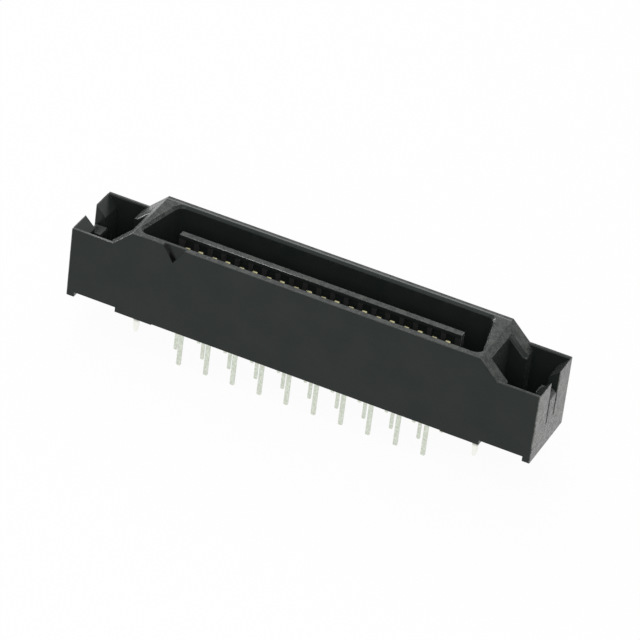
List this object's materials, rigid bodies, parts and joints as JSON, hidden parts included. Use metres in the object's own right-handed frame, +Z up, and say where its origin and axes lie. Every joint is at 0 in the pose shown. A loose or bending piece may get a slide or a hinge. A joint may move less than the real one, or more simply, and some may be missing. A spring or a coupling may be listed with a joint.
{
  "type": "board mount shrouded header connector",
  "caption": "Rectangular black shrouded header for a circuit board: a contact tongue in a D-shaped cavity, latch pockets at both ends, straight tails and board locks.",
  "frame": {"origin": "in the board plane, at the middle of the tail pattern and of the housing", "axes": "+X along the rows, with the triangle mark at the -X end; the long face with the triangle mark looks to -Y; +Z up from the board to the mating cavity; the tails point to -Z"},
  "size_m": [0.0432, 0.0068, 0.0118],
  "materials": {
    "housing_plastic": "fine matt moulding texture",
    "contact_plating": "gold over the contact faces, dull tin on the tails",
    "lock_steel": "dull tin"
  },
  "bodies": {
    "root": {"housing": "housing_plastic", "contact_front_01": "contact_plating", "contact_front_02": "contact_plating", "contact_front_03": "contact_plating", "contact_front_04": "contact_plating", "contact_front_05": "contact_plating", "contact_front_06": "contact_plating", "contact_front_07": "contact_plating", "contact_front_08": "contact_plating", "contact_front_09": "contact_plating", "contact_front_10": "contact_plating", "contact_front_11": "contact_plating", "contact_front_12": "contact_plating", "contact_front_13": "contact_plating", "contact_front_14": "contact_plating", "contact_front_15": "contact_plating", "contact_front_16": "contact_plating", "contact_front_17": "contact_plating", "contact_front_18": "contact_plating", "contact_front_19": "contact_plating", "contact_front_20": "contact_plating", "contact_back_01": "contact_plating", "contact_back_02": "contact_plating", "contact_back_03": "contact_plating", "contact_back_04": "contact_plating", "contact_back_05": "contact_plating", "contact_back_06": "contact_plating", "contact_back_07": "contact_plating", "contact_back_08": "contact_plating", "contact_back_09": "contact_plating", "contact_back_10": "contact_plating", "contact_back_11": "contact_plating", "contact_back_12": "contact_plating", "contact_back_13": "contact_plating", "contact_back_14": "contact_plating", "contact_back_15": "contact_plating", "contact_back_16": "contact_plating", "contact_back_17": "contact_plating", "contact_back_18": "contact_plating", "contact_back_19": "contact_plating", "contact_back_20": "contact_plating", "board_lock_left": "lock_steel", "board_lock_right": "lock_steel"}
  },
  "joints": []
}
